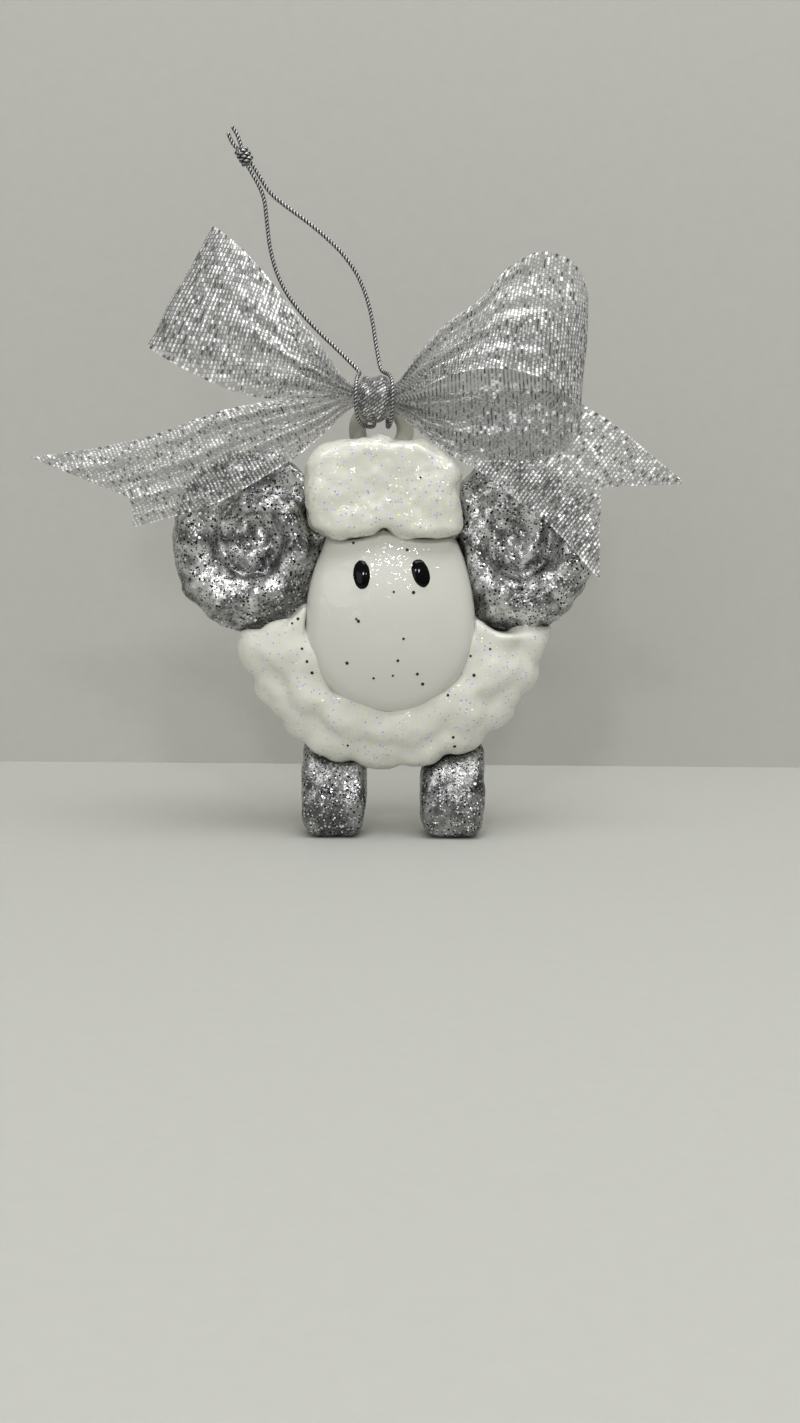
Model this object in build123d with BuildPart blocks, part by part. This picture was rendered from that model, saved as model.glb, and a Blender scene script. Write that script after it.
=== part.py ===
# Hanging sheep ornament: a flat-backed casting with coiled horns, a cord loop and a ribbon bow.
# The frame is +Z up, with the front of the figure facing -Y and the origin at floor level
# between the feet. Left and right are the viewer's. All lengths are in millimetres.

import os
from math import cos, pi, radians, sin, sqrt, tan

from build123d import *

os.makedirs("parts", exist_ok=True)

# Shared values
overrun = 1.0
seat_gap = 0.05
casting_back = 6.0

# Fleece body: a round cushion with a scalloped edge and a second ring of tufts on top
fleece_radius = 39.8
fleece_z = 56.0
fleece_scallops = 21
scallop_depth = 1.9
fleece_wall_front = 1.5
fleece_front = 6.6
tuft_ring_radius = 32.5
tuft_ring_scallops = 17
tuft_ring_depth = 1.8
tuft_ring_front = 9.4
fleece_crown_shares = [(1.0, 0.0), (0.965, 0.55), (0.87, 1.0)]

# Head: an egg outline under a shallow dome
chin_radius = 20.7
cheek_radius = 50.0
head_x = -0.3
head_z = 52.4
head_height_above = 25.0
head_front = 14.0
head_dome_radius = 55.0
head_edge_round = 5.0

# Wool cap: a cloud outline on the forehead
cap_width = 37.8
cap_height = 24.0
cap_x = -2.0
cap_z = 85.9
cap_wall_front = 9.5
cap_front = 13.4
cap_crown_shares = [(1.0, 0.0), (0.955, 0.6), (0.84, 1.0)]
# Each lobe is its start and the top of its bulge, as shares of half the width and height
cap_lobe_shares = [
    ((-0.95, -0.78), (-0.52, -1.0)),
    ((-0.01, -0.77), (0.50, -0.99)),
    ((0.97, -0.90), (1.0, -0.46)),
    ((0.91, 0.04), (0.93, 0.46)),
    ((0.68, 0.78), (0.40, 0.98)),
    ((0.06, 0.91), (-0.33, 1.0)),
    ((-0.68, 0.89), (-0.96, 0.62)),
    ((-0.97, 0.22), (-1.0, -0.25)),
]

# Horns: an oval backing plate that carries a coil, thick outside and tight in the middle
horn_half_width = 19.0
horn_half_height = 21.9
horn_out = 32.8
horn_x = -2.0
horn_z = 72.9
horn_back = 5.0
horn_plate_front = 2.2
coil_turns = 2.3
coil_steps_per_turn = 20
coil_tightening = 0.42
coil_slow_share = 0.375
coil_clear_share = 0.96
coil_runs = 4
coil_foot = 0.5
coil_centre_in = 1.6
coil_centre_up = 3.4
coil_tip_radius = 1.7

# Feet: two rounded blocks with flat soles
foot_width = 16.0
foot_top = 24.0
foot_front = 8.0
foot_round = 3.5
foot_edge_round = 2.6
left_foot_x = -14.2
right_foot_x = 15.4

# Eyes: thin painted ovals, let into the face
eye_width = 4.1
eye_height = 6.8
eye_z = 65.8
left_eye_x = -7.2
right_eye_x = 6.9
left_eye_lean = 0.0
right_eye_lean = 14.0
eye_raise = 0.25
eye_depth = 4.0

# Hanging tab: a ring with chamfered edges, let into the back of the cap
tab_radius = 8.0
tab_hole_radius = 3.75
tab_thickness = 4.2
tab_chamfer = 1.0
tab_x = -2.9
tab_y = 3.2
tab_z = 100.2
bar_z = tab_z + (tab_radius + tab_hole_radius) / 2

# Cord
cord_diameter = 1.0
cord_sides = 6
cord_round_share = 0.45
end_knot_radius = 1.9
end_knot_length = 5.2
end_knot_wraps = 3
end_knot_sides = 12
# Each wrap's rings: how far along the wrap, and the radius as a share of the knot's
end_knot_ring_shares = [(0.0, 0.72), (0.3, 1.0), (0.7, 1.0)]
end_tail_length = 5.6
end_tail_spread_share = 0.12
end_tail_lean_share = 0.35
strand_spacing = 1.1

# Ribbon bow
ribbon_width = 32.0
ribbon_thickness = 0.6
ribbon_pleats = 3
left_loop_reach = 46.0
left_loop_depth = 6.0
left_loop_rise = 25.5
right_loop_reach = 49.6
right_loop_depth = 7.2
right_loop_rise = 16.0
left_tail_reach = 80.0
left_tail_depth = 5.0
left_tail_drop = 22.5
left_tail_upper_tip = (-85.6, 92.4)
left_tail_notch = (-62.2, 83.3)
left_tail_lower_tip = (-61.6, 76.5)
right_tail_reach = 70.0
right_tail_depth = 2.9
right_tail_drop = 31.5
right_tail_upper_tip = (69.7, 87.6)
right_tail_notch = (49.6, 86.7)
right_tail_lower_tip = (49.9, 64.3)
tail_waste = 20.0
knot_width = 7.0
knot_radius = 5.5
knot_end_radius = 4.6
knot_crease_radius = 5.1
knot_band_share = 0.75
knot_crease_share = 0.25
knot_x = -4.45
knot_y = -6.5
knot_z = 107.1


def front(depth):
    """Plane that faces the viewer, the given distance in front of the frame's XZ plane."""
    return Plane.XZ.offset(depth)


def on_circle(radius, degrees_round):
    """Point on a circle about the sketch's origin."""
    angle = radians(degrees_round)
    return (radius * cos(angle), radius * sin(angle))


def scalloped_outline(radius, depth, count):
    """Closed ring of equal arcs that meet in cusps, like the edge of a cloud."""
    step = 360 / count
    with BuildSketch() as outline:
        with BuildLine():
            for i in range(count):
                start = i * step
                ThreePointArc(
                    on_circle(radius - depth, start),
                    on_circle(radius, start + step / 2),
                    on_circle(radius - depth, start + step),
                )
        make_face()
    return outline.sketch


def face_outline():
    """Round chin with two long cheek arcs up to a flat top under the cap."""
    top = head_height_above
    lean_mid = sqrt(cheek_radius**2 - (top / 2) ** 2) - cheek_radius
    lean_top = sqrt(cheek_radius**2 - top**2) - cheek_radius
    with BuildSketch() as outline:
        with BuildLine():
            for side in (-1, 1):
                ThreePointArc(
                    (0, -chin_radius),
                    (side * chin_radius * sin(pi / 4), -chin_radius * cos(pi / 4)),
                    (side * chin_radius, 0),
                )
                ThreePointArc(
                    (side * chin_radius, 0),
                    (side * (chin_radius + lean_mid), top / 2),
                    (side * (chin_radius + lean_top), top),
                )
            Line((-chin_radius - lean_top, top), (chin_radius + lean_top, top))
        make_face()
    return outline.sketch


def cap_outline(size_share):
    """Cloud of arcs that meet in cusps."""
    half_width = cap_width / 2 * size_share
    half_height = cap_height / 2 * size_share
    count = len(cap_lobe_shares)
    with BuildSketch() as outline:
        with BuildLine():
            for i in range(count):
                start, bulge = cap_lobe_shares[i]
                end = cap_lobe_shares[(i + 1) % count][0]
                ThreePointArc(
                    (half_width * start[0], half_height * start[1]),
                    (half_width * bulge[0], half_height * bulge[1]),
                    (half_width * end[0], half_height * end[1]),
                )
        make_face()
    return outline.sketch


def fleece_cushion(radius, depth, count, wall_start, wall_front, crown_front):
    """Scalloped wall with a crown that draws in towards the front."""
    with BuildPart() as cushion:
        with BuildSketch(front(wall_start)):
            with Locations((0, fleece_z)):
                add(scalloped_outline(radius, depth, count))
        extrude(amount=wall_front - wall_start)
        for size_share, depth_share in fleece_crown_shares:
            level = wall_front + (crown_front - wall_front) * depth_share
            with BuildSketch(front(level)):
                with Locations((0, fleece_z)):
                    add(scalloped_outline(radius * size_share, depth * size_share, count))
        loft()
    return cushion.part


# Blanks that cut the neighbouring masses, so that the joints between them are straight walls
blank_start = -casting_back - overrun
blank_length = casting_back + head_front + 2 * overrun

with BuildPart() as face_blank:
    with BuildSketch(front(blank_start)):
        with Locations((head_x, head_z)):
            add(face_outline())
    extrude(amount=blank_length)

with BuildPart() as cap_blank:
    with BuildSketch(front(blank_start)):
        with Locations((cap_x, cap_z)):
            add(cap_outline(1.0))
    extrude(amount=blank_length)

with BuildPart() as tab_blank:
    with BuildSketch(front(-casting_back - overrun)):
        with Locations((tab_x, tab_z)):
            Circle(tab_radius)
    extrude(amount=casting_back + overrun - tab_y + tab_thickness / 2)

with BuildPart() as horn_blank:
    with BuildSketch(front(blank_start)):
        for side in (-1, 1):
            with Locations((horn_x + side * horn_out, horn_z)):
                Ellipse(horn_half_width, horn_half_height)
    extrude(amount=blank_length)

with BuildPart() as fleece_blank:
    with BuildSketch(front(blank_start)):
        with Locations((0, fleece_z)):
            add(scalloped_outline(fleece_radius, scallop_depth, fleece_scallops))
    extrude(amount=blank_length)

# Fleece body
with BuildPart() as fleece_body:
    add(
        fleece_cushion(
            fleece_radius,
            scallop_depth,
            fleece_scallops,
            -casting_back,
            fleece_wall_front,
            fleece_front,
        )
    )
    add(
        fleece_cushion(
            tuft_ring_radius,
            tuft_ring_depth,
            tuft_ring_scallops,
            fleece_wall_front,
            fleece_front,
            tuft_ring_front,
        )
    )
    add(face_blank.part, mode=Mode.SUBTRACT)
    add(cap_blank.part, mode=Mode.SUBTRACT)
    add(horn_blank.part, mode=Mode.SUBTRACT)
    split(bisect_by=Plane.XY.offset(horn_z - horn_half_height / 2), keep=Keep.BOTTOM)

# Head
dome_centre_y = head_dome_radius - head_front


def eye_plug(eye_x, lean, dome_radius):
    """Oval that fills an eye's pocket up to a dome over the face."""
    with BuildPart() as plug:
        with BuildSketch(front(head_front - eye_depth)):
            with Locations((eye_x, eye_z)):
                Ellipse(eye_width / 2, eye_height / 2, rotation=lean)
        extrude(amount=eye_depth + overrun)
        with Locations((head_x, dome_centre_y, head_z)):
            Sphere(dome_radius, mode=Mode.INTERSECT)
    return plug.part


eye_places = {
    "left_eye": (left_eye_x, left_eye_lean),
    "right_eye": (right_eye_x, right_eye_lean),
}

with BuildPart() as head:
    with BuildSketch(front(-casting_back)):
        with Locations((head_x, head_z)):
            add(face_outline())
    extrude(amount=casting_back + head_front)
    with Locations((head_x, dome_centre_y, head_z)):
        Sphere(head_dome_radius, mode=Mode.INTERSECT)
    fillet(head.faces().sort_by(Axis.Y)[0].edges(), radius=head_edge_round)
    add(cap_blank.part, mode=Mode.SUBTRACT)
    for eye_x, lean in eye_places.values():
        add(eye_plug(eye_x, lean, head_dome_radius + overrun), mode=Mode.SUBTRACT)

# Eyes follow the dome, a little proud of it
for eye_name, (eye_x, lean) in eye_places.items():
    with BuildPart() as eye:
        add(eye_plug(eye_x, lean, head_dome_radius + eye_raise))
    eye.part.label = eye_name
    export_step(eye.part, f"parts/{eye_name}.step")

# Wool cap
with BuildPart() as wool_cap:
    with BuildSketch(front(-casting_back)):
        with Locations((cap_x, cap_z)):
            add(cap_outline(1.0))
    extrude(amount=casting_back + cap_wall_front)
    for size_share, depth_share in cap_crown_shares:
        with BuildSketch(front(cap_wall_front + (cap_front - cap_wall_front) * depth_share)):
            with Locations((cap_x, cap_z)):
                add(cap_outline(size_share))
    loft()
    add(tab_blank.part, mode=Mode.SUBTRACT)


# Horns
def coil_edge_share(turn):
    """Outer edge of the coil as a share of the plate: it follows the rim, then curls in."""
    slow = turn - sin(2 * pi * (turn - coil_slow_share)) / (2 * pi)
    return min(1.0, coil_tightening ** (slow - coil_slow_share))


def coil_section(side, turn):
    """Place, half-width and half-height of the coil's section, turns counted from its root."""
    outer = coil_edge_share(turn)
    inner = coil_edge_share(turn + 1)
    angle = pi / 2 + 2 * pi * turn
    across = (horn_half_width * cos(angle), horn_half_height * sin(angle))
    span = sqrt(across[0] ** 2 + across[1] ** 2)
    drift = turn / coil_turns
    centre_x = horn_x + side * (horn_out - coil_centre_in * drift)
    centre_z = horn_z + coil_centre_up * drift
    middle = (outer + inner) / 2
    half_width = span * (outer - inner) / 2 * coil_clear_share
    outward = Vector(-side * across[0], 0, across[1])
    place = Vector(centre_x, -horn_plate_front, centre_z) + outward * middle
    along = Vector(across[1], 0, side * across[0])
    return Plane(origin=place, x_dir=outward, z_dir=along), half_width


def coil_profile(half_width):
    """Round-backed section with a foot that sinks into the plate."""
    shoulder = half_width * sin(pi / 4)
    with BuildSketch() as profile:
        with BuildLine():
            ThreePointArc((half_width, 0), (shoulder, shoulder), (0, half_width))
            ThreePointArc((0, half_width), (-shoulder, shoulder), (-half_width, 0))
            Polyline(
                (-half_width, 0),
                (-half_width, -coil_foot),
                (half_width, -coil_foot),
                (half_width, 0),
            )
        make_face()
    return profile.sketch


def coil_run(side, first_step, last_step):
    """Stretch of the coil, lofted from section to section."""
    with BuildPart() as stretch:
        for i in range(first_step, last_step + 1):
            section_plane, half_width = coil_section(side, i / coil_steps_per_turn)
            with BuildSketch(section_plane):
                add(coil_profile(half_width))
        loft(ruled=True)
    return stretch.part


coil_steps = round(coil_turns * coil_steps_per_turn)
horns = {}
for horn_name, side in (("left_horn", -1), ("right_horn", 1)):
    tip_plane, tip_half_width = coil_section(side, coil_turns)
    with BuildPart() as horn:
        with BuildSketch(front(-horn_back)):
            with Locations((horn_x + side * horn_out, horn_z)):
                Ellipse(horn_half_width, horn_half_height)
        extrude(amount=horn_back + horn_plate_front)
        for i in range(coil_runs):
            add(coil_run(side, coil_steps * i // coil_runs, coil_steps * (i + 1) // coil_runs))
        with Locations(tip_plane.origin):
            Sphere(coil_tip_radius)
        add(face_blank.part, mode=Mode.SUBTRACT)
        add(cap_blank.part, mode=Mode.SUBTRACT)
    horns[horn_name] = horn

# Feet
for foot_name, foot_x in (("left_foot", left_foot_x), ("right_foot", right_foot_x)):
    with BuildPart() as foot:
        with BuildSketch(front(-casting_back)):
            with Locations((foot_x, foot_top / 2)):
                RectangleRounded(foot_width, foot_top, foot_round)
        extrude(amount=casting_back + foot_front)
        fillet(foot.faces().sort_by(Axis.Y)[0].edges(), radius=foot_edge_round)
        add(fleece_blank.part, mode=Mode.SUBTRACT)
    foot.part.label = foot_name
    export_step(foot.part, f"parts/{foot_name}.step")

# Hanging tab
with BuildPart() as hanging_tab:
    with BuildSketch(front(-tab_y - tab_thickness / 2)):
        with Locations((tab_x, tab_z)):
            Circle(tab_radius)
            Circle(tab_hole_radius, mode=Mode.SUBTRACT)
    extrude(amount=tab_thickness)
    chamfer(hanging_tab.edges().filter_by(GeomType.CIRCLE), length=tab_chamfer)


# Cord: straight runs joined by arcs, with a faceted section
def cord_radii(points):
    """Radius at each corner of a route, as large as its two runs allow."""
    radii = []
    for before, corner, after in zip(points, points[1:], points[2:]):
        run_in = Vector(*corner) - Vector(*before)
        run_out = Vector(*after) - Vector(*corner)
        turn = radians(run_in.get_angle(run_out))
        radii.append(cord_round_share * min(run_in.length, run_out.length) / tan(turn / 2))
    return radii


def cord_tube(cord_name, points):
    """Tube along a route, with its section square to the first run."""
    radii = cord_radii(points)
    with BuildPart() as tube:
        with BuildLine() as route:
            FilletPolyline(*points, radius=radii)
        first_run = Vector(*points[1]) - Vector(*points[0])
        with BuildSketch(Plane(origin=points[0], z_dir=first_run)):
            RegularPolygon(cord_diameter / 2, cord_sides)
        sweep()
    section_area = cord_sides / 2 * (cord_diameter / 2) ** 2 * sin(2 * pi / cord_sides)
    length = route.wires()[0].length
    filled_share = tube.part.volume / (section_area * length)
    print(
        f"{cord_name}: {length:.1f} mm long, radii",
        " ".join(f"{radius:.1f}" for radius in radii),
        f"mm, volume {filled_share:.4f} of section times length",
    )
    return tube


# The cord's route, in millimetres: left leg, right leg, and the hitch round the tab's bar
left_leg_route = [
    (-9.0, -5.6, 114.4),
    (-12.8, -4.5, 118.2),
    (-17.8, -4.0, 122.7),
    (-22.4, -3.6, 127.5),
    (-25.8, -3.4, 132.0),
    (-28.2, -3.3, 137.0),
    (-29.6, -3.4, 142.6),
    (-30.2, -3.6, 148.4),
    (-30.7, -4.0, 153.6),
    (-32.5, -4.2, 157.4),
    (-34.57, -4.3, 160.71),
]
right_leg_route = [
    (-3.3, -5.6, 115.2),
    (-4.2, -4.4, 119.6),
    (-5.0, -3.8, 125.2),
    (-6.4, -3.4, 131.0),
    (-8.8, -3.2, 136.6),
    (-12.3, -3.1, 141.2),
    (-16.6, -3.2, 145.2),
    (-21.2, -3.4, 148.7),
    (-25.8, -3.7, 151.8),
    (-29.4, -4.1, 154.6),
    (-31.5, -4.2, 157.9),
    (-33.63, -4.3, 161.29),
]


def run_back(route, length):
    """Point that continues a route backwards from its start, in line with its first run."""
    start = Vector(*route[0])
    outward = (start - Vector(*route[1])).normalized()
    return tuple(start + outward * length)


hitch_lead = 1.8
hitch_route = [
    left_leg_route[0],
    run_back(left_leg_route, hitch_lead),
    (-8.5, -9.3, 112.3),
    (-8.8, -12.0, 109.4),
    (-8.8, -11.9, 104.2),
    (-7.9, -9.6, 100.9),
    (-4.9, -3.0, 100.5),
    (-4.5, 7.1, 102.2),
    (-4.5, 6.9, 110.0),
    (-1.5, 6.9, 110.1),
    (-1.5, 7.1, 102.2),
    (-1.3, -3.0, 100.5),
    (-0.6, -9.6, 100.9),
    (-0.1, -11.9, 104.2),
    (-0.1, -12.0, 109.6),
    (-0.6, -9.3, 112.6),
    run_back(right_leg_route, hitch_lead),
    right_leg_route[0],
]

cord_left_leg = cord_tube("cord_left_leg", left_leg_route)
cord_right_leg = cord_tube("cord_right_leg", right_leg_route)
cord_hitch = cord_tube("cord_hitch", hitch_route)

# End knot: a wrapped barrel over both strands, with two cut ends above it
strand_end = (Vector(*left_leg_route[-1]) + Vector(*right_leg_route[-1])) / 2
strand_direction = (Vector(*left_leg_route[-1]) - Vector(*left_leg_route[-2])).normalized()
wrap_length = end_knot_length / end_knot_wraps

with BuildPart() as cord_end_knot:
    knot_start = strand_end + strand_direction * seat_gap
    for i in range(end_knot_wraps):
        for rise_share, radius in end_knot_ring_shares:
            rise = (i + rise_share) * wrap_length
            ring_plane = Plane(
                origin=knot_start + strand_direction * rise,
                x_dir=(0, 1, 0),
                z_dir=strand_direction,
            )
            with BuildSketch(ring_plane):
                RegularPolygon(end_knot_radius * radius, end_knot_sides)
    with BuildSketch(ring_plane.offset(wrap_length * end_knot_ring_shares[1][0])):
        RegularPolygon(end_knot_radius * end_knot_ring_shares[0][1], end_knot_sides)
    loft(ruled=True)
    for side in (-1, 1):
        tail_plane = Plane(
            origin=strand_end + strand_direction * (end_knot_length - wrap_length / 2),
            x_dir=(0, 1, 0),
            z_dir=strand_direction + Vector(end_tail_spread_share * side + end_tail_lean_share, 0, 0),
        )
        with BuildSketch(tail_plane):
            with Locations((0, side * strand_spacing / 2)):
                RegularPolygon(cord_diameter / 2, cord_sides)
        extrude(amount=end_tail_length)


# Ribbon: thin pleated strips, gathered at the knot and flat at the far end
def strip_profile(width, pleat_depth):
    """Section across the ribbon: a row of arcs that swing to and fro, one ribbon thick."""
    step = width / ribbon_pleats
    start = -width / 2
    half_thickness = ribbon_thickness / 2
    with BuildSketch() as profile:
        with BuildLine():
            for face_side in (-1, 1):
                level = face_side * half_thickness
                for i in range(ribbon_pleats):
                    swing = pleat_depth * (-1) ** i
                    ThreePointArc(
                        (start + i * step, level),
                        (start + (i + 1 / 2) * step, level + swing),
                        (start + (i + 1) * step, level),
                    )
            Line((start, -half_thickness), (start, half_thickness))
            Line((-start, -half_thickness), (-start, half_thickness))
        make_face()
    return profile.sketch


def ribbon_strip(side, reach, depth, rise, station_shares):
    """Loft along a strip from the knot's side, each station a share of reach, depth and rise.

    A station is along, forward, up, tilt in degrees, and the shares of width and pleat depth.
    """
    knot_centre = Vector(knot_x, knot_y, knot_z)
    neck = knot_width / 2 + seat_gap
    places = [
        knot_centre + Vector(side * (neck + (reach - neck) * along), -depth * forward, rise * up)
        for along, forward, up, tilt, width_share, pleat_share in station_shares
    ]
    count = len(places)
    sections = []
    for i in range(count):
        along, forward, up, tilt, width_share, pleat_share = station_shares[i]
        travel = places[min(i + 1, count - 1)] - places[max(i - 1, 0)]
        if along == 0:
            travel = Vector(side, 0, 0) if i == 0 else Vector(-side, 0, 0)
        lean = radians(tilt)
        across = Vector(-side * sin(lean), 0, cos(lean))
        heading = travel - across * travel.dot(across)
        width = ribbon_width * width_share
        section_plane = Plane(origin=places[i], x_dir=across, z_dir=heading)
        sections.append((section_plane, strip_profile(width, width * pleat_share)))
    with BuildPart() as strip:
        for stretch in zip(sections, sections[1:]):
            for section_plane, profile in stretch:
                with BuildSketch(section_plane):
                    add(profile)
            loft(ruled=True)
    return strip.part


def end_cut(side, upper_tip, notch, lower_tip):
    """Dovetail that trims the end of a tail."""
    outer = upper_tip[0] + side * tail_waste
    with BuildPart() as cut:
        with BuildSketch(Plane.XZ):
            with BuildLine():
                Polyline(
                    upper_tip,
                    notch,
                    lower_tip,
                    (lower_tip[0], 0),
                    (outer, 0),
                    (outer, upper_tip[1]),
                    close=True,
                )
            make_face()
        extrude(amount=blank_length, both=True)
    return cut.part


left_loop_shares = [
    (0.0, 0.10, 0.10, 0.0, 0.125, 0.04),
    (0.21, 0.52, 0.26, 14.0, 0.34, 0.05),
    (0.46, 0.95, 0.49, 24.0, 0.72, 0.03),
    (0.75, 1.00, 0.77, 29.5, 0.95, 0.02),
    (0.925, 0.66, 0.93, 29.5, 1.0, 0.01),
    (1.00, 0.0, 1.00, 29.5, 1.0, 0.01),
    (0.925, -0.62, 0.93, 29.5, 1.0, 0.01),
    (0.75, -0.95, 0.78, 29.5, 0.95, 0.02),
    (0.46, -0.90, 0.50, 24.0, 0.72, 0.03),
    (0.21, -0.50, 0.27, 14.0, 0.34, 0.05),
    (0.0, -0.12, 0.10, 0.0, 0.125, 0.04),
]
with BuildPart() as bow_left_loop:
    add(ribbon_strip(-1, left_loop_reach, left_loop_depth, left_loop_rise, left_loop_shares))

right_loop_shares = [
    (0.0, 0.34, 0.10, 0.0, 0.11, 0.04),
    (0.155, 0.75, 0.41, 0.0, 0.281, 0.05),
    (0.29, 1.03, 0.70, -10.0, 0.45, 0.03),
    (0.45, 1.20, 0.96, -14.0, 0.61, 0.02),
    (0.62, 1.29, 1.19, -10.0, 0.80, 0.01),
    (0.77, 1.25, 1.18, -5.0, 0.88, 0.01),
    (0.893, 1.10, 1.03, -6.0, 0.895, 0.01),
    (0.97, 0.90, 0.80, -4.0, 0.87, 0.01),
    (0.995, 0.74, 0.60, -2.0, 0.90, 0.01),
    (0.96, 0.62, 0.43, 0.0, 0.95, 0.01),
    (0.85, 0.61, 0.29, 2.0, 1.0, 0.01),
    (0.645, 0.62, 0.16, 4.0, 1.0, 0.01),
    (0.45, 0.60, 0.04, 4.0, 0.90, 0.02),
    (0.27, 0.52, -0.02, 0.0, 0.62, 0.03),
    (0.13, 0.36, -0.03, 0.0, 0.29, 0.04),
    (0.0, 0.12, 0.06, 0.0, 0.10, 0.04),
]
with BuildPart() as bow_right_loop:
    add(ribbon_strip(1, right_loop_reach, right_loop_depth, right_loop_rise, right_loop_shares))

left_tail_shares = [
    (0.0, 0.0, 0.09, 0.0, 0.125, 0.04),
    (0.13, 0.55, 0.19, 16.0, 0.32, 0.06),
    (0.28, 0.88, 0.44, 20.0, 0.54, 0.04),
    (0.455, 1.0, 0.66, 17.0, 0.67, 0.03),
    (0.625, 1.0, 0.84, 14.0, 0.69, 0.02),
    (0.81, 0.9, 0.97, 8.0, 0.69, 0.02),
    (1.02, 0.7, 1.04, 4.0, 0.60, 0.02),
]
with BuildPart() as bow_left_tail:
    add(ribbon_strip(-1, left_tail_reach, left_tail_depth, -left_tail_drop, left_tail_shares))
    add(
        end_cut(-1, left_tail_upper_tip, left_tail_notch, left_tail_lower_tip),
        mode=Mode.SUBTRACT,
    )

right_tail_shares = [
    (0.0, 0.0, 0.10, 0.0, 0.125, 0.04),
    (0.15, 0.40, 0.12, -30.0, 0.25, 0.05),
    (0.41, 0.9, 0.31, -38.0, 0.60, 0.01),
    (0.685, 1.0, 0.53, -38.0, 0.88, 0.01),
    (0.915, 1.0, 0.94, -39.0, 0.94, 0.01),
    (1.105, 0.9, 1.24, -40.0, 0.95, 0.01),
]
with BuildPart() as bow_right_tail:
    add(ribbon_strip(1, right_tail_reach, right_tail_depth, -right_tail_drop, right_tail_shares))
    add(
        end_cut(1, right_tail_upper_tip, right_tail_notch, right_tail_lower_tip),
        mode=Mode.SUBTRACT,
    )

# Bow knot: a barrel of ribbon wound round the middle of the bow, with a crease between wraps
with BuildPart() as bow_knot:
    with BuildSketch(Plane(origin=(knot_x, knot_y, knot_z), x_dir=(1, 0, 0), z_dir=(0, -1, 0))):
        half_knot = knot_width / 2
        band = half_knot * knot_band_share
        crease = half_knot * knot_crease_share
        with BuildLine():
            Polyline(
                (-half_knot, 0),
                (-half_knot, knot_end_radius),
                (-band, knot_radius),
                (-crease, knot_radius),
                (0, knot_crease_radius),
                (crease, knot_radius),
                (band, knot_radius),
                (half_knot, knot_end_radius),
                (half_knot, 0),
                close=True,
            )
        make_face()
    revolve(axis=Axis((knot_x, knot_y, knot_z), (1, 0, 0)))

pieces = {
    "fleece_body": fleece_body,
    "head": head,
    "wool_cap": wool_cap,
    "left_horn": horns["left_horn"],
    "right_horn": horns["right_horn"],
    "hanging_tab": hanging_tab,
    "cord_hitch": cord_hitch,
    "cord_left_leg": cord_left_leg,
    "cord_right_leg": cord_right_leg,
    "cord_end_knot": cord_end_knot,
    "bow_knot": bow_knot,
    "bow_left_loop": bow_left_loop,
    "bow_right_loop": bow_right_loop,
    "bow_left_tail": bow_left_tail,
    "bow_right_tail": bow_right_tail,
}
for piece_name, piece in pieces.items():
    piece.part.label = piece_name
    export_step(piece.part, f"parts/{piece_name}.step")
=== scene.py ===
# %% [markdown]
# # A hanging sheep ornament, dressed around its fixed frame
#
# The ornament is a flat-backed casting of a ram, painted white and silver and dusted with
# glitter. A thin metallic cord goes through the tab at its top, and a bow of metallic mesh
# ribbon is tied round the cord. This step loads the solid model, which fixes every size and
# place.

# %% Load the frame
from math import cos, hypot, pi, radians, sin

import bmesh
import bpy
from mathutils import Matrix, Vector, noise
from mathutils.bvhtree import BVHTree


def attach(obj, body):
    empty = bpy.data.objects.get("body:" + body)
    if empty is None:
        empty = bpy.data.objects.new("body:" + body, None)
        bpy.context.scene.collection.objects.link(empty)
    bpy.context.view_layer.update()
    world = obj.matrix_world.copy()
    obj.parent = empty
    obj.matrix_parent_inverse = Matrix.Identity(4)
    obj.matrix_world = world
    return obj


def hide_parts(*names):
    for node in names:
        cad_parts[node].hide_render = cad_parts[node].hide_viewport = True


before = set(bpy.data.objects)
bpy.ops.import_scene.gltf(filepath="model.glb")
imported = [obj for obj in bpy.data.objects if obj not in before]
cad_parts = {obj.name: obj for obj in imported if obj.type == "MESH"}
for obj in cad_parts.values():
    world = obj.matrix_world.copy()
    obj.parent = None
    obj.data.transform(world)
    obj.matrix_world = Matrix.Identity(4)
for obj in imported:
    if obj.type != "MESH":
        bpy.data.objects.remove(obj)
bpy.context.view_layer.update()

MM = 0.001

# %% [markdown]
# ## The camera
#
# The picture was taken with a telephone held upright, close to the object and a little above
# it, looking down by eight degrees. The long side of the picture sets the angle of view, so the
# lens is worked out from the picture's height. The slight roll of a hand-held picture is kept.

# %% Camera
image_height_px = 1423
focal_px = 1526
sensor_width = 36.0
camera_pitch = radians(82.0)
camera_roll = radians(0.45)
camera_place = (2.2, -377.0, 84.0)

bpy.ops.object.camera_add(location=[v * MM for v in camera_place])
camera = bpy.context.object
camera.name = "photo_camera"
camera.data.sensor_width = sensor_width
camera.data.lens = sensor_width * focal_px / image_height_px
camera.data.clip_start = 0.01
camera.data.clip_end = 20.0
tilt = Matrix.Rotation(camera_pitch, 3, "X") @ Matrix.Rotation(camera_roll, 3, "Z")
camera.rotation_euler = tilt.to_euler()
bpy.context.scene.camera = camera
bpy.context.scene.view_settings.view_transform = "Standard"
print(f"lens {camera.data.lens:.1f} mm on a {sensor_width:.0f} mm sensor")

# %% [markdown]
# ## Helpers for every finish and every mesh
#
# Colours are written as they look on a screen, in hex. Blender reckons in linear light, so one
# function turns each hex value to linear. A second small function adds a node to a material,
# with its settings and its links, and every material below is built with it. Most paints here
# wander softly between two close tones, as hand painted ones do.


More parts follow.
